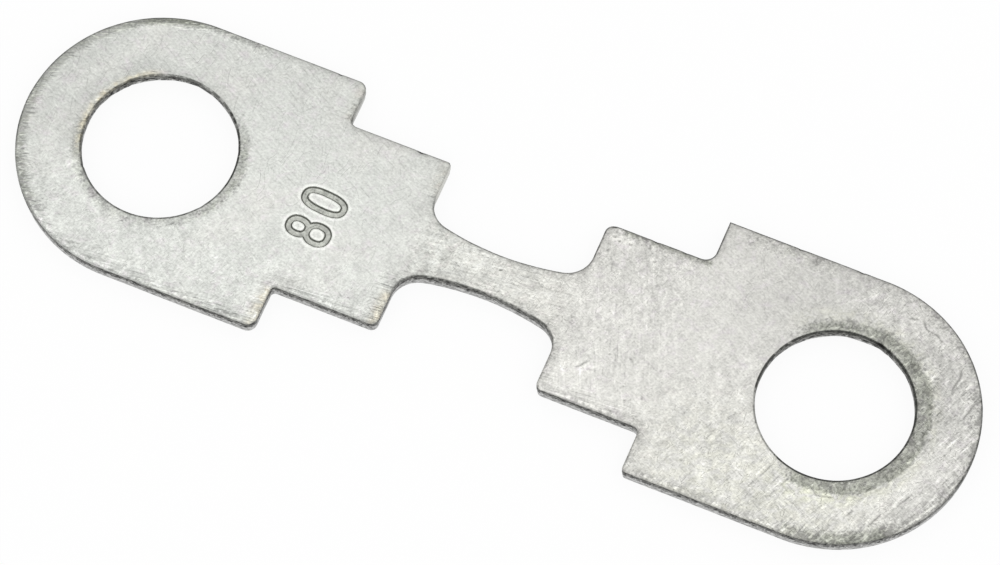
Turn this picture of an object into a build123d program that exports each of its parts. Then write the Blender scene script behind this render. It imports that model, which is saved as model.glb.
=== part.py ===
from build123d import *
import os

# Strip fuse: one piece of rolled zinc strip, blanked and pierced in a press.
# It lies flat. X runs along the strip, Z is up, and the origin is under the middle of the strip.
# All sizes are in millimetres.

# Strip
thickness = 0.8

# Lugs: the two round ends that go on the studs
stud_pitch = 30.0
stud_hole_diameter = 6.5
lug_width = 12.0

# Waist: the narrower length between the two lugs
waist_width = 8.0
waist_length = 16.2
waist_offset = -0.05

# Link: the hourglass neck that melts
link_length = 7.0
link_width = 1.85
link_sweep_radius = 12.0
link_root_radius = 1.15

# Corners of the blank, as its worn punches leave them.
# The left lug is the one at negative X, and the back is the side at positive Y.
back_left_step_radius = 0.4
back_left_root_radius = 0.3
back_left_shoulder_radius = 0.15
back_right_shoulder_radius = 0.4
back_right_root_radius = 0.5
front_left_step_radius = 0.45
front_left_root_radius = 0.15
front_left_shoulder_radius = 0.35
front_right_shoulder_radius = 0.3
front_right_root_radius = 0.25
front_right_step_radius = 0.2

# Sheared walls: the punch rolls the top edge over, and the metal breaks away below its cut
roll_radius = 0.1
break_height = 0.4
outline_break_width = 0.04
hole_break_width = 0.25


def lug(side):
    """One round end, from its stud to the step where the waist begins."""
    stud_x = side * stud_pitch / 2
    step_x = waist_offset + side * waist_length / 2
    neck = Pos((stud_x + step_x) / 2, 0) * Rectangle(abs(stud_x - step_x), lug_width)
    return neck + Pos(stud_x, 0) * Circle(lug_width / 2)


def waist():
    """The narrower plate, with the hourglass link cut out of its middle."""
    plate = Pos(waist_offset, 0) * Rectangle(waist_length, waist_width)
    gap = Pos(waist_offset, 0) * Rectangle(link_length, waist_width)
    link = Pos(waist_offset, 0) * Rectangle(link_length, waist_width)
    for side in (1, -1):
        sweep_y = side * (link_width / 2 + link_sweep_radius)
        link -= Pos(waist_offset, sweep_y) * Circle(link_sweep_radius)
    return plate - gap + link


def rounded(plan, x, y, radius):
    """Round the corner of the plan that lies nearest to x, y."""
    corner = plan.vertices().sort_by_distance((x, y, 0))[0]
    return fillet(corner, radius)


def outline():
    """The blank's outline, with every corner as round as the part has it."""
    plan = lug(-1) + lug(1) + waist()
    step_left = waist_offset - waist_length / 2
    step_right = waist_offset + waist_length / 2
    link_left = waist_offset - link_length / 2
    link_right = waist_offset + link_length / 2
    lug_y = lug_width / 2
    waist_y = waist_width / 2
    corners = [
        (step_left, lug_y, back_left_step_radius),
        (step_left, waist_y, back_left_root_radius),
        (link_left, waist_y, back_left_shoulder_radius),
        (link_right, waist_y, back_right_shoulder_radius),
        (step_right, waist_y, back_right_root_radius),
        (step_left, -lug_y, front_left_step_radius),
        (step_left, -waist_y, front_left_root_radius),
        (link_left, -waist_y, front_left_shoulder_radius),
        (link_right, -waist_y, front_right_shoulder_radius),
        (step_right, -waist_y, front_right_root_radius),
        (step_right, -lug_y, front_right_step_radius),
    ]
    for x in (link_left, link_right):
        for side in (1, -1):
            corners.append((x, side * link_width / 2, link_root_radius))
    for x, y, radius in corners:
        plan = rounded(plan, x, y, radius)
    return plan


def blank():
    """The blanked strip. Below the punch's cut its walls lean in, where the metal broke away."""
    top_plan = outline()
    bottom_plan = offset(top_plan, -outline_break_width, kind=Kind.INTERSECTION)
    cut = Pos(0, 0, break_height) * extrude(top_plan, thickness - break_height)
    broken = loft([bottom_plan.face(), Pos(0, 0, break_height) * top_plan.face()], ruled=True)
    return cut + broken


def stud_hole(side):
    """The tool for one stud hole: as wide as the punch above, and a cone where the slug broke out."""
    hole_radius = stud_hole_diameter / 2
    punch = Pos(0, 0, thickness / 2) * Cylinder(hole_radius, 2 * thickness)
    cone = Cone(hole_radius + hole_break_width, hole_radius, break_height)
    return Pos(side * stud_pitch / 2, 0) * (punch + Pos(0, 0, break_height / 2) * cone)


def fuse():
    """The pierced blank, with the top edges of the outline and the holes rolled over."""
    body = blank() - stud_hole(-1) - stud_hole(1)
    top = body.faces().sort_by(Axis.Z)[-1]
    return fillet(top.edges(), roll_radius)


strip = fuse()
os.makedirs("parts", exist_ok=True)
export_step(strip, "parts/fuse_strip.step")
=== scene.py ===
import bpy
import math
import numpy as np
from mathutils import Matrix, Vector
from mathutils.geometry import delaunay_2d_cdt


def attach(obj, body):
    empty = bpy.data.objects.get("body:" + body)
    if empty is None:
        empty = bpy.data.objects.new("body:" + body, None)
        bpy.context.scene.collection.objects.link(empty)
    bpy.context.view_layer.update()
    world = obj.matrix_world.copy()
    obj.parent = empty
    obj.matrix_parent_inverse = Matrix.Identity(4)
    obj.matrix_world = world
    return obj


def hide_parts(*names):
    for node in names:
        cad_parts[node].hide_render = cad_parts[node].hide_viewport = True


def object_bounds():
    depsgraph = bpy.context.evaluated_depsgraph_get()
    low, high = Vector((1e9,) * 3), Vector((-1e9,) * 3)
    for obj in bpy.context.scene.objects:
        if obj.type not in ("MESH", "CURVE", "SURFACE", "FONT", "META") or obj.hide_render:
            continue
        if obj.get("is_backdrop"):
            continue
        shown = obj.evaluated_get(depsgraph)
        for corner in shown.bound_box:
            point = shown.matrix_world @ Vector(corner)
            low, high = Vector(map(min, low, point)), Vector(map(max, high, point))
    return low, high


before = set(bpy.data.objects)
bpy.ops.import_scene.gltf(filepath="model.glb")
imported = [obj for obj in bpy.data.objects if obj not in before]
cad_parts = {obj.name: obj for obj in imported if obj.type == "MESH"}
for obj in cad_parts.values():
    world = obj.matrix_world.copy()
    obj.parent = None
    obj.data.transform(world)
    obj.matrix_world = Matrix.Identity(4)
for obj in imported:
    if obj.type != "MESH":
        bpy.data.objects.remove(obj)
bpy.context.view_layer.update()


# Camera
# The strip lies flat and is seen from above its front side, through a long lens from well back,
# so that both lugs look the same size. The picture is turned a little, as the photograph is.
LOOKED_AT = Vector((0.000243, 0.000089, 0.0))
CAMERA_DISTANCE = 0.21418
CAMERA_HEADING = 21.80
CAMERA_TILT = 24.147
CAMERA_ROLL = 0.9925
LENS_MM = 187.53
SENSOR_MM = 36.0

camera = bpy.data.objects.new("camera", bpy.data.cameras.new("camera"))
bpy.context.scene.collection.objects.link(camera)
camera.data.lens = LENS_MM
camera.data.sensor_width = SENSOR_MM
camera.data.clip_start = 0.01
camera.data.clip_end = 10.0
camera.matrix_world = (
    Matrix.Translation(LOOKED_AT)
    @ Matrix.Rotation(math.radians(CAMERA_HEADING), 4, "Z")
    @ Matrix.Rotation(math.radians(CAMERA_TILT), 4, "X")
    @ Matrix.Rotation(math.radians(CAMERA_ROLL), 4, "Z")
    @ Matrix.Translation((0, 0, CAMERA_DISTANCE))
)
bpy.context.scene.camera = camera
bpy.context.scene.view_settings.view_transform = "Standard"


# Floor and studio light
# A white table under a soft sky, which is brightest over the front right and falls off to the back
# left. One large lamp on the bright side lights the rolled edges, whose dark line the strip's material
# also paints on as shade. The camera itself sees plain white in place of the sky.
FLOOR_SIZE = 3.0
FLOOR_DROP = 0.00001
FLOOR_COLOUR = "F4F4F4"
FLOOR_OWN_SHADE = 0.1
SKY_COLOUR = "FFFFFF"
BRIGHT_SIDE = Vector((0.15, -0.25, 0.95)).normalized()
SKY_DARKEST = 0.25
SKY_BRIGHTEST = 1.18
LAMP_SIDE = Vector((0.35, -0.55, 0.75)).normalized()
LAMP_DISTANCE = 0.6
LAMP_SIZE = 0.3
LAMP_WATTS = 0.2


def linear(code):
    """An sRGB hex colour as linear red, green, blue and alpha."""
    parts = [int(code[i : i + 2], 16) / 255 for i in (0, 2, 4)]
    return [p / 12.92 if p <= 0.04045 else ((p + 0.055) / 1.055) ** 2.4 for p in parts] + [1.0]


def add(tree, kind, inputs=None, **settings):
    """Add a node with its settings. An input is a value, or the node or socket it is linked from."""
    node = tree.nodes.new("ShaderNode" + kind)
    for name, value in settings.items():
        setattr(node, name, value)
    for name, value in (inputs or {}).items():
        if isinstance(value, bpy.types.Node):
            value = value.outputs[0]
        if isinstance(value, bpy.types.NodeSocket):
            tree.links.new(value, node.inputs[name])
        else:
            node.inputs[name].default_value = value
    return node


sky = bpy.data.worlds.new("studio_sky")
sky.use_nodes = True
sky.node_tree.nodes.clear()
direction = add(sky.node_tree, "TexCoord").outputs["Generated"]
facing = add(sky.node_tree, "VectorMath", {0: direction, 1: BRIGHT_SIDE}, operation="DOT_PRODUCT")
level = add(
    sky.node_tree,
    "MapRange",
    {"Value": facing.outputs["Value"], "From Min": -1, "To Min": SKY_DARKEST, "To Max": SKY_BRIGHTEST},
)
sky_light = add(sky.node_tree, "Background", {"Color": linear(SKY_COLOUR), "Strength": level})
plain_white = add(sky.node_tree, "Background", {"Color": linear(SKY_COLOUR), "Strength": 1.0})
to_camera = add(sky.node_tree, "LightPath").outputs["Is Camera Ray"]
backdrop = add(sky.node_tree, "MixShader", {0: to_camera, 1: sky_light, 2: plain_white})
add(sky.node_tree, "OutputWorld", {"Surface": backdrop})
bpy.context.scene.world = sky

lamp = bpy.data.objects.new("soft_lamp", bpy.data.lights.new("soft_lamp", "AREA"))
lamp.data.shape = "DISK"
lamp.data.size = LAMP_SIZE
lamp.data.energy = LAMP_WATTS
lamp_turn = LAMP_SIDE.to_track_quat("Z", "Y").to_matrix().to_4x4()
lamp.matrix_world = Matrix.Translation(LAMP_SIDE * LAMP_DISTANCE) @ lamp_turn
bpy.context.scene.collection.objects.link(lamp)

floor_mesh = bpy.data.meshes.new("floor")
floor_edge = FLOOR_SIZE / 2
floor_mesh.from_pydata(
    [(x * floor_edge, y * floor_edge, -FLOOR_DROP) for x, y in ((-1, -1), (1, -1), (1, 1), (-1, 1))],
    [],
    [(0, 1, 2, 3)],
)
floor = bpy.data.objects.new("floor", floor_mesh)
bpy.context.scene.collection.objects.link(floor)
floor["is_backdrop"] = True

paper = bpy.data.materials.new("white_table")
paper.use_nodes = True
paper.node_tree.nodes.clear()
ray = add(paper.node_tree, "LightPath")
seen = ray.outputs["Is Camera Ray"]
for kind in ("Is Glossy Ray", "Is Transmission Ray"):
    seen = add(paper.node_tree, "Math", {0: seen, 1: ray.outputs[kind]}, operation="MAXIMUM")
glow_share = add(paper.node_tree, "Math", {0: seen, 1: 1 - FLOOR_OWN_SHADE}, operation="MULTIPLY")
lit = add(paper.node_tree, "BsdfDiffuse", {"Color": linear(FLOOR_COLOUR)})
white = add(paper.node_tree, "Emission", {"Strength": 1.0})
table = add(paper.node_tree, "MixShader", {0: glow_share, 1: lit, 2: white})
add(paper.node_tree, "OutputMaterial", {"Surface": table})
floor_mesh.materials.append(paper)


# Fuse strip
# One piece of rolled zinc strip, blanked and pierced in a press, with its rating struck in by a stamp.
# The press rolls its top edges over and leaves a cut band above a torn one; the cut band is painted
# dark and the torn band grey, as shade.
# All sizes are in mm, and the strip's own are those of the CAD model.
MM = 0.001
thickness = 0.8
stud_pitch = 30.0
stud_hole_diameter = 6.5
lug_width = 12.0
waist_width = 8.0
waist_length = 16.2
waist_offset = -0.05
link_length = 7.0
link_width = 1.85
link_sweep_radius = 12.0
link_root_radius = 1.15
back_left_step_radius = 0.4
back_left_root_radius = 0.3
back_left_shoulder_radius = 0.15
back_right_shoulder_radius = 0.4
back_right_root_radius = 0.5
front_left_step_radius = 0.45
front_left_root_radius = 0.15
front_left_shoulder_radius = 0.35
front_right_shoulder_radius = 0.3
front_right_root_radius = 0.25
front_right_step_radius = 0.2
break_height = 0.4
outline_break_width = 0.04
hole_break_width = 0.25

# How far apart the points of the mesh are: along the edges, over the face and over the underside.
point_spacing = 0.12
face_spacing = 0.17
underside_spacing = 0.8
least_corner_steps = 2
shortest_step = 1e-6


def corner(x, y, radius, before, after):
    """Points round one square corner of the blank, walked from one direction to the next."""
    before, after = np.array(before), np.array(after)
    steps = max(least_corner_steps, round(radius * math.pi / point_spacing))
    turn = np.linspace(0, math.pi / 2, steps + 1)[:, None]
    centre = np.array((x, y)) + radius * (after - before)
    return centre + radius * (before * np.sin(turn) - after * np.cos(turn))


def arc(x, y, radius, start, end):
    """Points on an arc, from one angle to another in degrees."""
    steps = round(abs(math.radians(end - start)) * radius / point_spacing)
    angle = np.radians(np.linspace(start, end, steps + 1))
    return np.column_stack([x + radius * np.cos(angle), y + radius * np.sin(angle)])


def link_side(side):
    """One side of the hourglass link: a root, the long sweep past the middle, and the other root."""
    sweep_y = link_width / 2 + link_sweep_radius
    root_x = link_length / 2 - link_root_radius
    root_y = sweep_y - math.sqrt((link_sweep_radius - link_root_radius) ** 2 - root_x**2)
    lean = math.degrees(math.atan2(root_x, sweep_y - root_y))
    points = np.vstack([
        arc(root_x, root_y, link_root_radius, 0, lean - 90),
        arc(0, sweep_y, link_sweep_radius, lean - 90, -lean - 90),
        arc(-root_x, root_y, link_root_radius, -lean - 90, -180),
    ])
    return points * side + (waist_offset, 0)


def closed(parts):
    """One closed run of points, with its straight stretches divided into short steps."""
    points = np.vstack(parts)
    run = []
    for here, there in zip(points, np.roll(points, -1, axis=0)):
        length = np.linalg.norm(there - here)
        steps = 0 if length < shortest_step else max(1, round(length / point_spacing))
        run += [here + (there - here) * step / steps for step in range(steps)]
    return np.array(run)


lug_y = lug_width / 2
waist_y = waist_width / 2
stud_x = stud_pitch / 2
step_left = waist_offset - waist_length / 2
step_right = waist_offset + waist_length / 2
link_left = waist_offset - link_length / 2
link_right = waist_offset + link_length / 2
rightward, leftward, backward, forward = (1, 0), (-1, 0), (0, 1), (0, -1)
outline = closed([
    arc(stud_x, 0, lug_y, -90, 90),
    [(step_right, lug_y)],
    corner(step_right, waist_y, back_right_root_radius, forward, leftward),
    corner(link_right, waist_y, back_right_shoulder_radius, leftward, forward),
    link_side(1),
    corner(link_left, waist_y, back_left_shoulder_radius, backward, leftward),
    corner(step_left, waist_y, back_left_root_radius, leftward, backward),
    corner(step_left, lug_y, back_left_step_radius, backward, leftward),
    arc(-stud_x, 0, lug_y, 90, 270),
    corner(step_left, -lug_y, front_left_step_radius, rightward, backward),
    corner(step_left, -waist_y, front_left_root_radius, backward, rightward),
    corner(link_left, -waist_y, front_left_shoulder_radius, rightward, backward),
    link_side(-1),
    corner(link_right, -waist_y, front_right_shoulder_radius, forward, rightward),
    corner(step_right, -waist_y, front_right_root_radius, rightward, forward),
    corner(step_right, -lug_y, front_right_step_radius, forward, rightward),
])
hole_radius = stud_hole_diameter / 2
left_hole = closed([arc(-stud_x, 0, hole_radius, 360, 0)])
right_hole = closed([arc(stud_x, 0, hole_radius, 360, 0)])
loops = [outline, left_hole, right_hole]


def into_metal(loop):
    """The way into the metal at each point of a loop, as long as it takes to go in by one."""
    ahead = np.roll(loop, -1, axis=0) - loop
    ahead /= np.linalg.norm(ahead, axis=1)[:, None]
    left = np.column_stack([-ahead[:, 1], ahead[:, 0]])
    middle = left + np.roll(left, 1, axis=0)
    middle /= np.linalg.norm(middle, axis=1)[:, None]
    return middle / (middle * left).sum(1)[:, None]


# The real edges waver a little, over about five steps between points, and small chips are missing
# from them. Each chip has its x, y, half length and depth.
ripple_depth = 0.004
ripple_reach = 5
chips = [
    (15.74, 3.17, 0.2, 0.02), (16.15, 3.02, 0.09, 0.015), (-17.3, 2.3, 0.07, 0.03),
    (-17.56, -2.0, 0.07, 0.035), (-12.34, -1.86, 0.07, 0.03), (-11.91, 1.0, 0.07, 0.02),
    (5.6, 4.0, 0.1, 0.025), (6.9, 4.0, 0.08, 0.02), (3.75, 3.9, 0.1, 0.03), (11.2, 6.0, 0.1, 0.02),
    (13.9, 6.0, 0.1, 0.025), (-9.4, 6.0, 0.1, 0.02), (-4.9, 4.0, 0.15, 0.02), (-3.6, 3.97, 0.06, 0.015),
]
wall_rng = np.random.default_rng(7)


def wander(count, reach):
    """A closed run of random values from about -1 to 1, that drift over so many steps."""
    pull = np.exp(-((np.fft.rfftfreq(count) * reach * 2) ** 2))
    values = np.fft.irfft(np.fft.rfft(wall_rng.normal(0, 1, count)) * pull, count)
    return values / (2.2 * values.std())


for loop in loops:
    ripple = ripple_depth * (1 + wander(len(loop), ripple_reach))
    for chip_x, chip_y, half_length, chip_depth in chips:
        chip_gap = np.hypot(loop[:, 0] - chip_x, loop[:, 1] - chip_y) / half_length
        ripple += chip_depth * np.exp(-(chip_gap**2))
    loop += into_metal(loop) * ripple[:, None]


# Points are measured in batches, which keeps the tables in memory small.
batch = 2000


def distance(points, run, is_loop=True):
    """How far each point is from a run of points."""
    start = run if is_loop else run[:-1]
    along = (np.roll(run, -1, axis=0) if is_loop else run[1:]) - start
    squared = (along**2).sum(1)
    nearest = np.empty(len(points))
    for first in range(0, len(points), batch):
        gap = points[first : first + batch, None] - start
        share = np.clip((gap * along).sum(2) / squared, 0, 1)[..., None]
        nearest[first : first + batch] = np.sqrt(((gap - share * along) ** 2).sum(2).min(1))
    return nearest


def room(points):
    """How far each point is from the nearest edge of the strip."""
    return np.min([distance(points, loop) for loop in loops], axis=0)


def inside(points, runs):
    """Which points have metal under them: those that an odd number of the runs go round."""
    odd = np.zeros(len(points), bool)
    for start in runs:
        end = np.roll(start, -1, axis=0)
        for first in range(0, len(points), batch):
            part = points[first : first + batch, None]
            crosses = (start[:, 1] > part[..., 1]) != (end[:, 1] > part[..., 1])
            rise = end[:, 1] - start[:, 1]
            rise = np.where(rise == 0, 1, rise)
            meets = start[:, 0] + (part[..., 1] - start[:, 1]) * (end[:, 0] - start[:, 0]) / rise
            odd[first : first + batch] ^= (crosses & (part[..., 0] < meets)).sum(1) % 2 == 1
    return odd


# The triangles cover the whole plane at first, and points this near to each other are one.
whole_plane = 0
same_point = 1e-7


def mesh_plan(runs, inner):
    """Triangles over the metal between the loops, through all the inner points, facing up."""
    points = np.vstack([*runs, inner])
    edges, first = [], 0
    for run in runs:
        edges += [(first + i, first + (i + 1) % len(run)) for i in range(len(run))]
        first += len(run)
    flat = [Vector(point) for point in points]
    _, _, found, origin, _, _ = delaunay_2d_cdt(flat, edges, [], whole_plane, same_point)
    triangles = np.array([[origin[i][0] for i in face] for face in found])
    middles = points[triangles].mean(1)
    triangles = triangles[inside(middles, runs)]
    (ax, ay), (bx, by), (cx, cy) = points[triangles].transpose(1, 2, 0)
    downward = (bx - ax) * (cy - ay) < (by - ay) * (cx - ax)
    triangles[downward] = triangles[downward][:, ::-1]
    return points, triangles


def lattice(low, high, spacing):
    """A triangular lattice of points over a rectangle."""
    rows = np.arange(low[1], high[1], spacing * math.sqrt(3) / 2)
    columns = np.arange(low[0], high[0], spacing)
    return np.array([(x + (i % 2) * spacing / 2, y) for i, y in enumerate(rows) for x in columns])


# The stamped number stands across the strip, with its top to the left lug. It is a plain number in
# place of the marking in the photograph, struck with the same narrow, flat-bottomed stamp.
number_centre = np.array((-7.75, -0.42))
number_reads = math.radians(85.5)
number_stroke = 0.25
number_depth = 0.11
number_wall = 0.09
number_lip = 0.012
number_lip_offset = 0.05
number_lip_width = 0.07
number_spacing = 0.036
number_room = (2.0, 1.4)
ring_steps = 72


def ring(centre, half_width, half_height, squareness):
    """The middle line of a round stroke: an oval with a share of a box in it."""
    angle = np.linspace(0, 2 * math.pi, ring_steps + 1)
    c, s = np.cos(angle), np.sin(angle)
    power = 2 / squareness
    return np.column_stack([
        centre[0] + half_width * np.sign(c) * abs(c) ** power,
        centre[1] + half_height * np.sign(s) * abs(s) ** power,
    ])


number_strokes = [
    ring((-0.72, 0.455), 0.34, 0.41, 2.3),
    ring((-0.72, -0.42), 0.40, 0.455, 2.3),
    ring((0.72, 0.0), 0.39, 0.875, 2.6),
]
reading = np.array((math.cos(number_reads), math.sin(number_reads)))
upward = np.array((-reading[1], reading[0]))


def on_number(points):
    """Points of the strip, as the stamp sees them: along the line it reads in, and up."""
    offset = points - number_centre
    return np.column_stack([offset @ reading, offset @ upward])


# Rows of points follow each edge, closest together where the metal rolls over. They are left out
# where they would come too near to another edge, and the lattice of the face keeps clear of them.
roll_rows = [0.006, 0.024, 0.05, 0.075, 0.1, 0.16, 0.23, 0.33]
hole_rows = [0.42, 0.5, 0.58, 0.66, 0.74, 0.82, 0.9, 1.0]
row_slack = 0.93
clear_of_rows = face_spacing * 0.6
inner = []
for loop in loops:
    way = into_metal(loop)
    for depth in roll_rows if loop is outline else roll_rows + hole_rows:
        row = loop + way * depth
        inner.append(row[(room(row) > depth * row_slack) & inside(row, loops)])
strip_low, strip_high = (-stud_x - lug_y, -lug_y), (stud_x + lug_y, lug_y)
grid = lattice(strip_low, strip_high, face_spacing)
grid = grid[inside(grid, loops)]
grid = grid[room(grid) > roll_rows[-1] + clear_of_rows]
around_holes = np.minimum(distance(grid, left_hole), distance(grid, right_hole))
grid = grid[around_holes > hole_rows[-1] + clear_of_rows]
grid = grid[(abs(on_number(grid)) >= number_room).any(1)]
fine = lattice((-number_room[0], -number_room[1]), number_room, number_spacing)
fine = number_centre + fine[:, :1] * reading + fine[:, 1:] * upward
fine = fine[room(fine) > roll_rows[-1] + number_spacing]

# Scratches, pits and knocks of handling, where the photograph shows them. A scratch is a run of x
# and y, and a pit or a knock has its x, y and radius. Each gets its own close points in the mesh.
scratch_half = 0.045
scratch_depth = 0.012
scratches = [
    [(4.66, -2.49), (4.81, -2.38), (4.89, -2.24), (4.97, -2.12)],
    [(5.22, -2.39), (5.40, -2.34)],
    [(17.04, 4.85), (17.21, 4.60), (17.34, 4.55), (17.49, 4.57), (17.80, 4.47), (18.02, 4.30)],
    [(16.45, 4.80), (16.78, 4.90)],
    [(17.17, 5.25), (17.49, 5.29)],
    [(18.31, 2.67), (18.45, 2.73)],
    [(19.14, 2.52), (19.25, 3.09), (19.19, 3.41)],
    [(20.01, 1.49), (20.19, 2.19), (20.31, 2.32)],
    [(19.91, 2.40), (20.44, 2.51)],
    [(18.49, 1.24), (18.73, 1.57)],
    [(18.09, -4.40), (18.40, -3.75)],
    [(17.11, -4.34), (17.28, -4.07)],
    [(16.62, -2.96), (16.95, -3.22)],
    [(17.93, -2.02), (18.22, -2.28)],
    [(18.62, -0.62), (18.85, -0.86)],
    [(15.35, -3.68), (15.72, -3.94), (16.35, -3.78)],
    [(18.93, 0.55), (18.83, 0.92)],
]
pit_depth = 0.02
pits = [
    (3.69, -0.51, 0.06), (7.67, -2.74, 0.07), (7.05, -3.09, 0.05), (6.75, -2.55, 0.05),
    (7.92, -1.32, 0.06), (8.26, -1.31, 0.04), (9.45, -3.34, 0.06), (9.03, -2.47, 0.05),
    (8.73, -5.10, 0.05), (8.41, -5.40, 0.06), (9.35, -5.62, 0.07), (9.61, -1.70, 0.05),
    (6.58, -1.30, 0.05), (5.72, -1.43, 0.05), (10.11, -4.62, 0.05), (15.89, 4.46, 0.06),
    (16.56, 5.08, 0.05), (18.34, 1.74, 0.05), (18.52, 1.55, 0.06), (18.68, 1.17, 0.06),
    (18.35, 1.03, 0.04), (17.62, -4.83, 0.07), (16.65, -4.94, 0.05), (3.90, 2.84, 0.07),
    (6.17, 3.50, 0.05), (-18.13, -2.45, 0.05), (-18.32, -1.65, 0.05),
]
# The knocks are longer than wide, one way, and each has pushed up a rim, painted lighter as a
# highlight.
dent_depth = 0.03
dent_rim = 0.012
dent_stretch = 1.7
dent_way = np.array((0.95, 0.31))
dents = [
    (3.93, 3.52, 0.07), (4.17, 3.40, 0.06), (4.66, 3.44, 0.07), (5.86, 3.10, 0.07), (0.18, 0.30, 0.06),
    (3.62, 2.55, 0.05),
]
# The close points run in rows along each scratch, and in rings over each pit and knock.
scratch_step = 0.05
scratch_rows = (-2.2, -1, 0, 1, 2.2)
pit_rings = (0.5, 1.0, 1.6)
pit_turn = math.pi / 5
clear_of_edge = 0.02
clear_of_point = 0.015
clear_of_marks = face_spacing * 0.5
local = []
for scratch in scratches:
    for here, there in zip(np.array(scratch), np.array(scratch[1:])):
        length = np.linalg.norm(there - here)
        across = np.array((here[1] - there[1], there[0] - here[0])) / length
        for step in np.arange(0, length, scratch_step):
            middle = here + (there - here) * step / length
            local += [middle + across * scratch_half * side for side in scratch_rows]
for mark_x, mark_y, radius in pits + dents:
    local.append(np.array((mark_x, mark_y)))
    for share in pit_rings:
        for turn in np.arange(0, 2 * math.pi, pit_turn):
            reach = radius * share * np.array((math.cos(turn), math.sin(turn)))
            local.append((mark_x, mark_y) + reach)
local = np.array(local)
local = local[inside(local, loops)]
local = local[room(local) > roll_rows[-1] + clear_of_edge]
spread = [local[0]]
for point in local[1:]:
    if ((np.array(spread) - point) ** 2).sum(1).min() > clear_of_point**2:
        spread.append(point)
local = np.array(spread)
crowded = np.array([((local - point) ** 2).sum(1).min() < clear_of_marks**2 for point in grid])
inner += [grid[~crowded], fine, local]
plan, face_triangles = mesh_plan(loops, np.vstack(inner))
to_outline = distance(plan, outline)
to_holes = np.minimum(distance(plan, left_hole), distance(plan, right_hole))


def polar(points, side):
    """The angle in degrees and the distance of each point, seen from the middle of a stud hole."""
    offset = points - (side * stud_x, 0)
    return np.degrees(np.arctan2(offset[:, 1], offset[:, 0])), np.hypot(offset[:, 0], offset[:, 1])


def ramp(value, low, high):
    """A smooth step from 0 to 1. It falls where low is the larger."""
    share = np.clip((value - low) / (high - low), 0, 1)
    return share * share * (3 - 2 * share)


def sector(angle, middle, half, soft=15):
    """1 over a sector of a lug, and 0 beyond its soft ends."""
    return ramp(abs((angle - middle + 180) % 360 - 180), half + soft, half)


# Where each point of the face lies: in a lug's own angle and distance, and on which half. The waver
# is a slow change from place to place, from 0 to 1.
left_angle, left_out = polar(plan, -1)
right_angle, right_out = polar(plan, 1)
on_left, on_right = plan[:, 0] < 0, plan[:, 0] > 0
waver = 0.5 + 0.25 * np.sin(plan[:, 0] * 2.3 + 1) + 0.25 * np.sin(plan[:, 1] * 3.1 + plan[:, 0])

# The rolled edges waver in width, and are wider round the far side of the left lug, where the
# strip was dragged. The face lies low enough to leave room for the lips that marks push up.
face_height = thickness - number_lip
edge_roll_depth = 0.09
hole_roll_depth = 0.05
dragged = on_left * sector(left_angle, 165, 60) * ramp(left_out, 5.0, 5.4)
edge_roll_width = 0.13 + 0.08 * waver + 0.08 * dragged
hole_roll_width = 0.08 + 0.04 * waver


def rolled(gap, width, depth):
    """How far the metal has sunk at some distance from an edge."""
    share = np.clip(1 - gap / width, 0, 1)
    return depth * (1 - np.sqrt(1 - share**2))


def from_lines(points, lines):
    """How far each point is from the nearest of some open lines."""
    return np.min([distance(points, np.array(line), is_loop=False) for line in lines], axis=0)


stroke_gap = from_lines(on_number(plan), number_strokes)
struck_from = number_stroke / 2 + number_wall / 2
struck = ramp(stroke_gap, struck_from, number_stroke / 2 - number_wall / 2)
lip = np.exp(-(((stroke_gap - struck_from - number_lip_offset) / number_lip_width) ** 2))

# A washer has pressed a faint ring into the right lug, round all but the left of its hole. The
# ring's edge is sharper in some places than in others, and is measured from the hole's middle.
washer_depth = 0.012
washer_edge = 4.08 + 0.2 * sector(right_angle, 60, 15, 30) - 0.12 * sector(right_angle, 265, 15, 20)
washer_soft = 0.22 + 0.3 * sector(right_angle, 100, 50, 25)
washer_arc = on_right * sector(right_angle, 15, 108, 25)
witness = washer_arc * ramp(right_out, 3.12, 3.3)
witness *= ramp(right_out, washer_edge, washer_edge - washer_soft)

scratch_gap = from_lines(plan, scratches)
scratched = ramp(scratch_gap, scratch_half * 1.4, 0.0)
ridge = np.exp(-(((scratch_gap - scratch_half * 2.2) / scratch_half) ** 2))
pitted = np.zeros(len(plan))
for pit_x, pit_y, radius in pits:
    pit_gap = np.hypot(plan[:, 0] - pit_x, plan[:, 1] - pit_y)
    pitted = np.maximum(pitted, ramp(pit_gap, radius * 1.5, radius * 0.2))
dented, dent_lip = np.zeros(len(plan)), np.zeros(len(plan))
for dent_x, dent_y, radius in dents:
    lengthwise = (plan - (dent_x, dent_y)) @ dent_way
    sideways = (plan - (dent_x, dent_y)) @ (-dent_way[1], dent_way[0])
    dent_gap = np.hypot(lengthwise / dent_stretch, sideways) / radius
    dented = np.maximum(dented, ramp(dent_gap, 1.2, 0.1))
    dent_lip = np.maximum(dent_lip, np.exp(-(((dent_gap - 1.4) / 0.4) ** 2)))

number_lip_share, scratch_lip_share = 0.9, 0.6
height = face_height + number_lip * number_lip_share * lip - number_depth * struck
height += dent_rim * dent_lip - dent_depth * dented - washer_depth * witness
height += number_lip * scratch_lip_share * ridge - scratch_depth * scratched - pit_depth * pitted
height -= rolled(to_outline, edge_roll_width, edge_roll_depth)
height -= rolled(to_holes, hole_roll_width, hole_roll_depth)
height = np.minimum(height, thickness)

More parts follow.
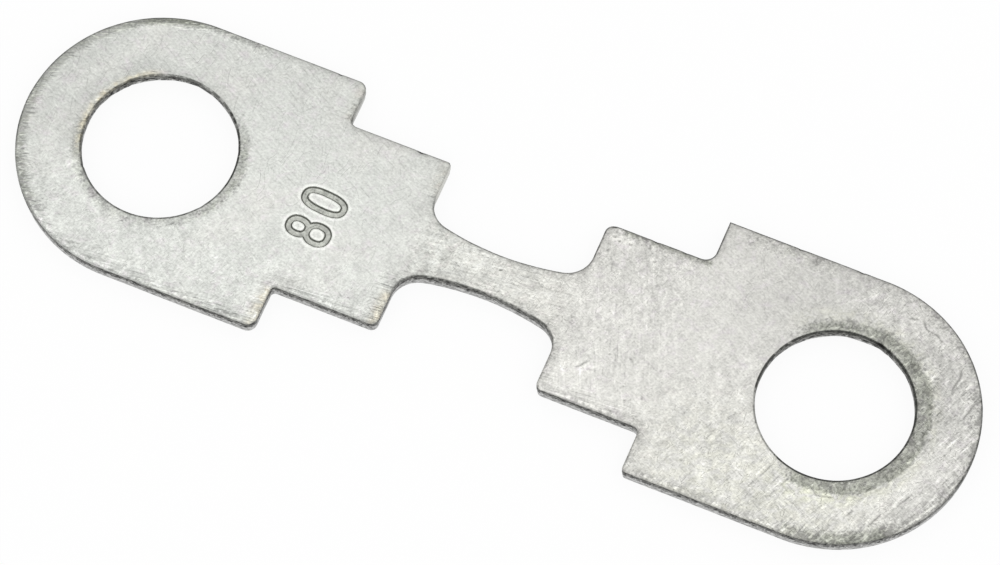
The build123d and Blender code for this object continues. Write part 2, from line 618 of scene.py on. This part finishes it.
# The walls go down from each edge: a straight cut band, then a torn one that leans in.
# A share up to 1 is how far down the cut band a row is, and from 1 to 2 how far down the torn one.
# The border between the two drifts up and down.
wall_shares = [0.3, 0.6, 0.9, 1.0, 1.12, 1.4, 1.7, 1.9, 2.0]
torn_roughness = 0.012
border_drift, drift_reach = 0.07, 12
border_jitter, jitter_reach = 0.05, 3
break_widths = [outline_break_width, hole_break_width, hole_break_width]
vertices = [np.column_stack([plan, height])]
wall_faces = []
bottom_runs = []
bottom_index = []
total = len(plan)
loop_start = 0
for loop, break_width in zip(loops, break_widths):
    count = len(loop)
    way = into_metal(loop)
    border = break_height + border_drift * wander(count, drift_reach)
    border += border_jitter * wander(count, jitter_reach)
    above = loop_start + np.arange(count)
    edge_height = height[loop_start : loop_start + count]
    for share in wall_shares:
        cut_share = min(share, 1)
        torn_share = max(share - 1, 0)
        z = edge_height + (border - edge_height) * cut_share - border * torn_share
        inward = np.full(count, break_width * torn_share)
        if 0 < torn_share < 1:
            inward += abs(wall_rng.normal(0, torn_roughness, count))
        vertices.append(np.column_stack([loop + way * inward[:, None], z]))
        below = total + np.arange(count)
        wall_faces.append(np.column_stack([above, below, np.roll(below, -1), np.roll(above, -1)]))
        above = below
        total += count
    bottom_runs.append(vertices[-1][:, :2])
    bottom_index.append(above)
    loop_start += count

# The underside is flat, with wide triangles that start at the foot of each wall.
under = lattice(strip_low, strip_high, underside_spacing)
under = under[inside(under, bottom_runs)]
under_room = np.min([distance(under, run) for run in bottom_runs], axis=0)
under = under[under_room > underside_spacing / 3]
_, under_triangles = mesh_plan(bottom_runs, under)
bottom_index = np.concatenate([*bottom_index, total + np.arange(len(under))])
vertices.append(np.column_stack([under, np.zeros(len(under))]))
vertices = np.vstack(vertices)
faces = face_triangles.tolist() + bottom_index[under_triangles][:, ::-1].tolist()
faces += np.vstack(wall_faces).tolist()

sharp_edge = math.radians(55)
strip_mesh = bpy.data.meshes.new("fuse_strip_zinc")
strip_mesh.from_pydata((vertices * MM).tolist(), [], faces)
strip_mesh.shade_smooth()
strip_mesh.set_sharp_from_angle(angle=sharp_edge)
strip = bpy.data.objects.new("fuse_strip_zinc", strip_mesh)
bpy.context.scene.collection.objects.link(strip)

# What the finish follows. Each mask below is kept at the points of the mesh, and says how strongly
# a colour, a pattern or a change of tone shows there. Lengths are in mm and angles in degrees, and
# a sector is counted from the right round the middle of a stud hole.
x, y = plan.T

# Grime and painted shade: grime in the washer's mark, and painted shade on the back edges of the right
# lug and waist and at the back of the left lug. The face is darker too along the right lug's end and
# front, round the left hole and at the left step.
grime_and_shade = 0.85 * witness
grime_and_shade += 0.4 * on_right * sector(right_angle, 0, 70) * ramp(right_out, 5.35, 5.95)
grime_and_shade += 0.55 * on_right * sector(right_angle, 291, 18, 10) * ramp(right_out, 5.15, 5.6)
left_ring = 0.5 + 0.1 * sector(left_angle, 215, 25, 20)
grime_and_shade += left_ring * on_left * (1 - sector(left_angle, 115, 60, 20)) * ramp(left_out, 3.95, 3.5)
grime_and_shade += 0.25 * on_left * sector(left_angle, 355, 25) * ramp(abs(left_out - 3.62), 0.3, 0.1)
grime_and_shade += 0.4 * ramp(x, 8.6, 9.4) * ramp(x, 13.6, 12.4) * ramp(y, 5.0, 5.6)
grime_and_shade += 0.3 * ramp(abs(x - step_left), 0.4, 0.15) * ramp(y, 3.9, 4.1) * ramp(y, 5.2, 4.9)
grime_and_shade += 0.8 * ramp(x, 3.9, 4.3) * ramp(x, 8.2, 8.0) * ramp(y, 3.5, 3.9) * ramp(y, 4.1, 4.0)
grime_and_shade += 0.5 * on_left * sector(left_angle, 98, 26, 10) * ramp(to_outline, 0.42, 0.22)

# Drag lines: short strokes over the rim of the left lug, both sides of its hole and its front edge.
drag = on_left * sector(left_angle, 165, 62) * ramp(left_out, 5.3, 5.75)
drag += 0.6 * on_left * sector(left_angle, 5, 22) * ramp(left_out, 3.65, 3.3)
drag += 0.6 * on_left * sector(left_angle, 150, 35) * ramp(left_out, 3.65, 3.35)
drag += 0.45 * on_left * sector(left_angle, 100, 18, 8) * ramp(to_outline, 0.4, 0.15)
drag += 0.5 * ramp(x, -15, -13) * ramp(x, -8.2, -8.6) * ramp(y, -5.5, -5.85)

# Scuffs: the front of the left half, the link, and the right half but for the back of its waist.
behind_waist = ramp(x, 7.0, 9.0) * ramp(y, -1.0, 2.0)
scuffed = 0.7 * ramp(y, 0, -4) * ramp(x, 2, -4)
scuffed += 0.9 * ramp(abs(x), 5.0, 2.5)
scuffed += 0.75 * ramp(x, 2.5, 5.0) * ramp(x - y, 12, 4) * (1 - 0.8 * behind_waist)
scuffed += ramp(x - y, 7, 14) * ramp(x, 2.5, 5.0)
scuffed += 0.6 * ramp(x, 12.5, 14.5) * ramp(y, 3.8, 4.8)
scuffed = np.clip(scuffed, 0, 1)

# Places with strokes of their own: the link, the right waist, the right lug's front, and the edges
# that were brushed along their length.
neck = ramp(abs(x), 4.2, 2.6)
waist = ramp(x, 3.2, 4.0) * ramp(x, 9.0, 7.0)
right_lug = ramp(x, 11.5, 14.0) * ramp(y, -2.5, -4.0)
right_lug = np.maximum(right_lug, ramp(x, 17.2, 18.6) * ramp(y, 4.0, 1.5))
brushed = 0.8 * ramp(to_outline, 1.1, 0.2) * ramp(y, -1.2, -2.5) * ramp(x, 9.0, 7.0)
brushed += ramp(abs(x - step_left), 0.8, 0.2) * ramp(abs(y), 3.8, 4.2)
brushed += ramp(abs(x - link_left), 0.8, 0.2) * ramp(abs(y), 1.4, 2.0)
brushed = np.clip(brushed, 0, 1) * (1 - 0.6 * (y > 0))

# Painted highlight: thin bright lines just inside the front edges, the right hole's back and the left
# lug's rim.
highlight_lines = ramp(abs(to_outline - 0.14), 0.09, 0.03) * ramp(y, -1, -3)
behind_hole = on_right * ramp(right_angle, 150, 60) * ramp(y, 2.0, 2.8)
highlight_lines += ramp(abs(to_holes - 0.2), 0.09, 0.03) * behind_hole
highlight_lines += 0.7 * on_left * sector(left_angle, 105, 20, 8) * ramp(abs(left_out - 5.62), 0.12, 0.04)
highlight_lines += 0.5 * on_left * sector(left_angle, 150, 30) * ramp(abs(left_out - 3.45), 0.1, 0.03)

# Painted shade: the dark line of the rolled edge itself. It is faint in front, at the back of the left
# waist, by the bright wall of the link and at the near rim of the right hole.
in_front = ramp(y, -1, -3) * (to_outline < to_holes)
in_back_left = ramp(x, -15, -13) * ramp(x, -2.0, -3.5) * ramp(y, 0.5, 2.0)
beside_bright_wall = ramp(abs(x - link_left), 0.3, 0.15) * ramp(y, 1.9, 2.5)
brink_shade = ramp(to_outline, 0.10, 0.03) * (0.95 - 0.75 * in_front - 0.4 * in_back_left)
brink_shade *= 1 - 0.8 * beside_bright_wall
lighter_rim = on_right * sector(right_angle, 216, 22, 12)
darker_rim = on_right * sector(right_angle, 75, 55)
hole_rim = ramp(to_holes, 0.105, 0.07)
brink_shade += hole_rim * (0.85 - 0.8 * lighter_rim + 0.3 * darker_rim)
brink_shade += 0.6 * hole_rim * (sector(right_angle, 264, 7, 6) + sector(left_angle, 20, 26, 8))

# Tints: greenish over the right half's front and at the washer's edge, and cream on the steps and on
# the link's shoulders. Behind the left hole the cream is a painted warm highlight on the hole's far
# rim.
olive = 0.5 * ramp(x, 6.0, 11.0) * ramp(y, 0.5, -4.0) * ramp(x, 21.0, 15.0) + 0.2 * neck
olive += 0.5 * ramp(abs(right_out - 4.05), 0.5, 0.15) * washer_arc
cream_and_highlight = ramp(abs(x - step_left), 0.6, 0.1) * ramp(abs(y), 4.0, 4.3)
cream_and_highlight += ramp(abs(x - link_left), 0.6, 0.1) * ramp(abs(y), 2.2, 2.6)
cream_and_highlight *= 1 - 0.7 * (y > 0)
cream_and_highlight += 1.5 * on_left * sector(left_angle, 163, 33, 25) * ramp(left_out, 3.65, 3.35)

# Painted shade: how much darker the face is toward the back, at both ends and the front edges, and
# round the left hole. Painted highlight makes it lighter at the front of the right waist and along the
# back rim of the right hole.
painted_shading = 0.085 * ramp(y, -0.5, 5.5) - 0.035 * ramp(y, -0.5, -3.0)
painted_shading += 0.10 * ramp(x, -17.5, -20.3) + 0.02 * ramp(x, -18.5, -20.0) + 0.05 * ramp(x, 16.5, 20.0)
painted_shading += 0.07 * ramp(x, 8.5, 12.0) * ramp(y, -1.5, 3.0)
painted_shading += 0.085 * ramp(to_outline, 0.65, 0.15) * ramp(y, 0, -3.5)
painted_shading -= 0.05 * ramp(np.hypot(x - 4.3, y + 3.2), 2.2, 0.5)
painted_shading -= 0.03 * ramp(x, 12.5, 14.5) * ramp(y, 3.8, 4.8)
painted_shading += 0.07 * on_left * ramp(left_out, 3.95, 3.4)
behind_left_hole = on_left * sector(left_angle, 157, 38, 20)
painted_shading += 0.1 * behind_left_hole * ramp(left_out, 4.5, 3.9) * ramp(left_out, 3.4, 3.55)
painted_shading -= 0.22 * on_right * sector(right_angle, 80, 40) * ramp(abs(right_out - 3.4), 0.07, 0.03)

# Painted shade and highlight on the marks of handling: darker in the scratches, pits and knocks,
# lighter on the scratches' ridges and the knocks' rims.
handling_light_and_shade = 0.12 * ridge - 0.38 * scratched - 0.26 * pitted + 0.22 * dent_lip - 0.3 * dented

# On the walls: the link's and the step's left walls turn to the light and get a painted highlight, and
# the chips get painted shade down to the middle of the wall.
wall_x, wall_y, wall_z = vertices.T
bright_wall = ramp(abs(wall_x - link_left), 0.2, 0.1) * ramp(wall_y, 1.9, 2.5)
bright_wall += 0.5 * ramp(abs(wall_x - step_left), 0.2, 0.1) * ramp(wall_y, 4.2, 4.5)
chip_shade = np.zeros(len(vertices))
for chip_x, chip_y, half_length, _ in chips:
    chip_gap = np.hypot(wall_x - chip_x, wall_y - chip_y) / half_length
    chip_shade += 0.9 * ramp(chip_gap, 1.5, 0.7)
chip_shade[: len(plan)] *= ramp(np.minimum(to_outline, to_holes), 0.11, 0.08)
chip_shade *= ramp(wall_z, 0.45, 0.65)

marks = {
    "grime_and_shade": grime_and_shade,
    "drag": drag,
    "scuffed": scuffed,
    "brushed": brushed,
    "olive": np.clip(olive, 0, 1),
    "neck": neck,
    "waist": waist,
    "right_lug": right_lug,
    "cream_and_highlight": cream_and_highlight,
    "painted_shading": painted_shading,
    "struck": struck,
    "handling_light_and_shade": handling_light_and_shade,
    "lip": lip,
    "brink_shade": brink_shade,
    "highlight_lines": highlight_lines,
    "edge_gap": to_outline,
    "hole_gap": to_holes,
    "bright_wall": bright_wall,
    "chip_shade": chip_shade,
}
for name, values in marks.items():
    all_values = np.zeros(len(vertices), np.float32)
    all_values[: len(values)] = values
    strip_mesh.attributes.new(name, "FLOAT", "POINT").data.foreach_set("value", all_values)

# Rolled zinc, dulled by handling: a pale grey metal with a soft sheen, cool on the left and a little
# warmer on the right, under fine rolling lines and scuffs. Its walls are painted darker as shade: the
# burnished cut band nearly black, with bright specks, and the torn band a dull mid grey. Painted shade
# and highlight also lie along its edges and over its face.
zinc = bpy.data.materials.new("rolled_zinc")
zinc.use_nodes = True
tree = zinc.node_tree
tree.nodes.clear()
place = add(tree, "TexCoord").outputs["Object"]
position = add(tree, "SeparateXYZ", {0: place})


def maths(operation, *values):
    """A math node on one, two or three values."""
    return add(tree, "Math", dict(enumerate(values)), operation=operation)


def share_of(value, low, high, most=1.0, least=0.0):
    """A share that goes from the least to the most while a value goes from low to high."""
    reach = {"Value": value, "From Min": low, "From Max": high, "To Min": least, "To Max": most}
    return add(tree, "MapRange", reach)


def mixed(share, base, over):
    """One colour laid over another by a share."""
    return add(tree, "MixRGB", {"Fac": share, "Color1": base, "Color2": over})


def shaded(base, level):
    """A colour made lighter or darker by a level."""
    grey = add(tree, "CombineXYZ", {0: level, 1: level, 2: level})
    return add(tree, "MixRGB", {"Fac": 1.0, "Color1": base, "Color2": grey}, blend_type="MULTIPLY")


# The colours of the face, of what lies or is cut on it, and of the walls.
face_cool = "DDDFDA"
face_warm = "DEDDD8"
face_pink = "DFDADC"
# Cream: a tint on the steps and shoulders, and a painted warm highlight behind the left hole.
cream_and_highlight_colour = "F0E8CF"
olive_colour = "DEE0CC"
# The stain colour serves the washer's grime, the drag lines and the painted shade along the back edges.
stain_and_shade_colour = "8C8F84"
# The groove's colours are painted shade in the stamped groove.
groove_wall_shade_colour = "50524B"
groove_floor_shade_colour = "BFC1BA"
# Painted shade: the dark line on the rolled edges.
brink_shade_colour = "50514E"
# Painted shade on the walls: the cut band nearly black, the torn band mid grey.
cut_band_shade_colour = "434341"
torn_band_shade_colour = "A3A3A2"
# Painted highlight on the lit walls, and painted shade in the chips.
lit_wall_colour = "CFCFC9"
chip_shade_colour = "1C1C1B"

# Each pattern: its length and width in mm, the way it runs in degrees, its detail and distortion.
# The grain and the rolling lines of real strip are finer than the picture can show, so they are
# drawn about a tenth of a millimetre wide.
pattern_gap = 0.01
pattern_roughness = 0.6
patterns = {
    "clouds": (3.5, 2.5, 30, 2, 0),
    "blotches": (0.9, 0.6, 100, 3, 0.5),
    "mottle": (0.3, 0.22, 60, 3, 0.5),
    "grain": (0.11, 0.09, 0, 2, 0),
    "wrinkles": (1.3, 0.7, 100, 1, 1.2),
    "squiggles": (0.55, 0.35, 70, 1, 1.5),
    "rolling": (1.3, 0.075, 5, 1, 0.4),
    "weave": (0.9, 0.09, -28, 1, 0.3),
    "crosswise": (1.0, 0.19, 112, 2, 0.9),
    "slanting": (1.5, 0.15, 66, 1, 0.5),
    "tints": (0.5, 0.4, 20, 2, 0.5),
    "scraping": (1.5, 0.08, -20, 1, 0.5),
    "dragging": (0.6, 0.075, 18, 1, 0.6),
    "flecks": (0.4, 0.09, 12, 3, 0.9),
    "nicks": (0.28, 0.08, 65, 1, 0.8),
    "scores": (0.55, 0.06, -30, 1, 0.5),
}
noise = {}
for name, (length, width, angle, detail, distortion) in patterns.items():
    seat = add(
        tree,
        "Mapping",
        {
            "Vector": place,
            "Location": (len(noise) * pattern_gap, 0, 0),
            "Rotation": (0, 0, math.radians(angle)),
            "Scale": (length * MM, width * MM, width * MM),
        },
        vector_type="TEXTURE",
    )
    noise[name] = add(
        tree,
        "TexNoise",
        {
            "Vector": seat,
            "Scale": 1.0,
            "Detail": detail,
            "Roughness": pattern_roughness,
            "Distortion": distortion,
        },
    )
held = {name: add(tree, "Attribute", attribute_name=name).outputs["Fac"] for name in marks}

# Painted shade where the plain face ends: a band along every edge, and a narrower one round the holes.
# The smooth side is where there are no scuffs, and fragments break up the wrinkles and the painted
# highlight lines.
uneven = maths("MULTIPLY_ADD", noise["mottle"], 0.3, held["edge_gap"])
edge_shade = share_of(uneven, 0.62, 0.15)
hole_shade = share_of(held["hole_gap"], 0.3, 0.0)
smooth_side = maths("SUBTRACT", 1.0, held["scuffed"])
fragments = share_of(noise["mottle"], 0.46, 0.6)
torn_bits = maths("MULTIPLY", fragments, held["scuffed"])
# Patches of the painted highlight lines.
highlight_bits = maths("MULTIPLY", fragments, held["highlight_lines"])

# The finish is built up in layers. Each has its pattern, its shape, the mask it shows in, and how
# far it changes the tone of the colour and the height of the surface. A soft layer uses all of its
# pattern, strokes only its highs and lows, as scratches do, and lines its middle level, as wrinkles.
SOFT, STROKES, LINES = "soft", "strokes", "lines"
line_reach = 0.05
layers = [
    ("clouds", SOFT, None, 0.12, 0.0),
    ("blotches", SOFT, None, 0.12, 0.1),
    ("blotches", SOFT, "scuffed", 0.58, 0.1),
    ("mottle", SOFT, None, 0.32, 0.4),
    ("mottle", SOFT, "scuffed", 0.65, 0.6),
    ("grain", SOFT, None, 0.60, 0.5),
    ("grain", SOFT, "scuffed", 0.10, 0.1),
    ("wrinkles", LINES, "smooth", -0.025, -0.5),
    ("squiggles", LINES, "torn_bits", -0.08, -0.8),
    ("nicks", STROKES, "scuffed", 0.30, 0.5),
    ("scores", STROKES, "scuffed", 0.24, 0.4),
    ("weave", STROKES, "smooth", 0.18, 0.4),
    ("rolling", STROKES, "neck", 0.35, 0.4),
    ("flecks", SOFT, "neck", 0.50, 0.5),
    ("crosswise", STROKES, "waist", 0.42, 0.5),
    ("slanting", STROKES, "patchy_lug", 1.0, 1.1),
    ("scraping", STROKES, "right_lug", 0.20, 0.3),
    ("rolling", STROKES, "brushed", 0.70, 0.7),
    ("dragging", STROKES, "drag", 1.9, 0.9),
    ("mottle", SOFT, "struck", 1.2, 0.8),
    ("mottle", STROKES, "grime_and_shade", 2.2, 1.5),
    ("squiggles", STROKES, "grime_and_shade", 0.9, 0.8),
    ("grain", SOFT, "grime_and_shade", 1.0, 0.6),
]
stroke_gain = 10.0
patches = share_of(noise["clouds"], 0.42, 0.58)
patchy_lug = maths("MULTIPLY", patches, held["right_lug"])
masks = dict(held, smooth=smooth_side, patchy_lug=patchy_lug, torn_bits=torn_bits)
plain_tone = 1.035
tone = relief = None
for name, shape, where, in_tone, in_relief in layers:
    value = maths("SUBTRACT", noise[name], 0.5)
    if shape is STROKES:
        size = maths("ABSOLUTE", value)
        size = maths("MULTIPLY", size, stroke_gain)
        value = maths("MULTIPLY", value, size)
    if shape is LINES:
        size = maths("ABSOLUTE", value)
        value = share_of(size, line_reach, 0.0)
    if where:
        value = maths("MULTIPLY", value, masks[where])
    tone = maths("MULTIPLY_ADD", value, in_tone, tone or plain_tone)
    relief = maths("MULTIPLY_ADD", value, in_relief, relief or 0.0)

# Changes of tone that have no pattern of their own.
# The lip's tone is a painted highlight on the stamp's lip. The edge and hole bands, the painted
# shading, the highlight bits and the tone of the handling marks are painted shade and highlight too.
plain_changes = (
    (edge_shade, -0.17), (hole_shade, -0.10), (held["painted_shading"], -1.0), (held["handling_light_and_shade"], 1.0),
    (held["lip"], 0.24), (held["drag"], 0.02), (highlight_bits, 0.3), (held["scuffed"], -0.02),
)
for where, in_tone in plain_changes:
    tone = maths("MULTIPLY_ADD", where, in_tone, tone)
darkest_tone = 0.5
tone = maths("MAXIMUM", tone, darkest_tone)

# How far each colour covers the one before it. The grime and painted shade and the drag lines have a
# ragged edge, and the tints and the painted dark edge line come and go in patches.
warm_from, warm_to = -6 * MM, 3 * MM
warm_end = share_of(position.outputs["X"], warm_from, warm_to, 0.9)
warm_share = maths("MAXIMUM", warm_end, share_of(noise["clouds"], 0.5, 0.7, 0.5))
pink_share = share_of(noise["tints"], 0.52, 0.75, 0.7)
ragged = {}
for name, pattern, reach, low, high, most in (
    ("grime_and_shade", "mottle", 2.6, 0.1, 0.9, 0.85),
    ("drag", "dragging", 5.5, 0.5, 1.2, 0.6),
):
    value = maths("SUBTRACT", noise[pattern], 0.5)
    value = maths("MULTIPLY_ADD", value, reach, held[name])
    value = share_of(value, low, high, most)
    ragged[name] = maths("MULTIPLY", value, held[name])
patchy = {}
for name, pattern, low, high, most, least in (
    ("olive", "tints", 0.42, 0.62, 0.75, 0.0),
    ("cream_and_highlight", "tints", 0.4, 0.6, 0.6, 0.15),
    ("brink_shade", "mottle", 0.38, 0.54, 1.0, 0.42),
):
    value = share_of(noise[pattern], low, high, most, least)
    patchy[name] = maths("MULTIPLY", held[name], value)
# Painted shade in the stamped groove: dark on its walls, and a darker grey over its floor.
unstruck = maths("SUBTRACT", 1.0, held["struck"])
groove_wall_shade = maths("MULTIPLY", held["struck"], unstruck)
groove_wall_shade = share_of(groove_wall_shade, 0.05, 0.2, 0.85)
colour = mixed(warm_share, linear(face_cool), linear(face_warm))
for share, code in (
    (pink_share, face_pink),
    (patchy["cream_and_highlight"], cream_and_highlight_colour),
    (patchy["olive"], olive_colour),
    (ragged["grime_and_shade"], stain_and_shade_colour),
    (ragged["drag"], stain_and_shade_colour),
    (held["struck"], groove_floor_shade_colour),
    (groove_wall_shade, groove_wall_shade_colour),
    (patchy["brink_shade"], brink_shade_colour),
):
    colour = mixed(share, colour, linear(code))
colour = shaded(colour, tone)

# Walls: the material knows them by how steeply the metal stands, and paints them darker as shade.
# Streaks that run down them make the line ragged where the torn band starts, and patches lighten and
# darken the cut band.
steep_from, steep_to = 0.5, 0.2
streak_size = (0.08 * MM, 0.08 * MM, 0.4 * MM)
streak_reach = 0.12 * MM
patch_size = (0.22 * MM, 0.22 * MM, 0.11 * MM)
patch_darkest, patch_brightest = -0.9, 3.4
torn_from, torn_to = 0.52 * MM, 0.15 * MM
patch_loss = -0.8
normal = add(tree, "SeparateXYZ", {0: add(tree, "NewGeometry").outputs["True Normal"]})
level_share = maths("ABSOLUTE", normal.outputs["Z"])
wall = share_of(level_share, steep_from, steep_to)
streak_seat = add(tree, "Mapping", {"Vector": place, "Scale": streak_size}, vector_type="TEXTURE")
streaks = add(tree, "TexNoise", {"Vector": streak_seat, "Scale": 1.0, "Detail": 2.0})
lift = share_of(streaks, 0.3, 0.7, streak_reach, -streak_reach)
torn_line = maths("ADD", position.outputs["Z"], lift)
torn = share_of(torn_line, torn_from, torn_to)
patch_seat = add(tree, "Mapping", {"Vector": place, "Scale": patch_size}, vector_type="TEXTURE")
patch_kind = {"Vector": patch_seat, "Scale": 1.0, "Detail": 3.0, "Roughness": 0.7}
wall_patches = add(tree, "TexNoise", patch_kind)
patch_change = share_of(wall_patches, 0.41, 0.59, patch_brightest, patch_darkest)
patch_share = maths("MULTIPLY_ADD", torn, patch_loss, 1.0)
patch_tone = maths("MULTIPLY_ADD", patch_change, patch_share, 1.0)
wall_shade_colour = mixed(torn, linear(cut_band_shade_colour), linear(torn_band_shade_colour))
wall_shade_colour = shaded(wall_shade_colour, patch_tone)
wall_shade_colour = mixed(held["bright_wall"], wall_shade_colour, linear(lit_wall_colour))
colour = mixed(wall, colour, wall_shade_colour)
colour = mixed(held["chip_shade"], colour, linear(chip_shade_colour))

smoothest, roughest = 0.42, 0.58
bump_height = 0.02 * MM
roughness = share_of(noise["mottle"], 0.3, 0.7, roughest, smoothest)
bump = add(tree, "Bump", {"Strength": 1.0, "Distance": bump_height, "Height": relief})
metal = add(
    tree,
    "BsdfPrincipled",
    {"Base Color": colour, "Metallic": 1.0, "Roughness": roughness, "Normal": bump},
)
add(tree, "OutputMaterial", {"Surface": metal})
strip_mesh.materials.append(zinc)

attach(strip, "root")
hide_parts("fuse_strip")


low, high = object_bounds()
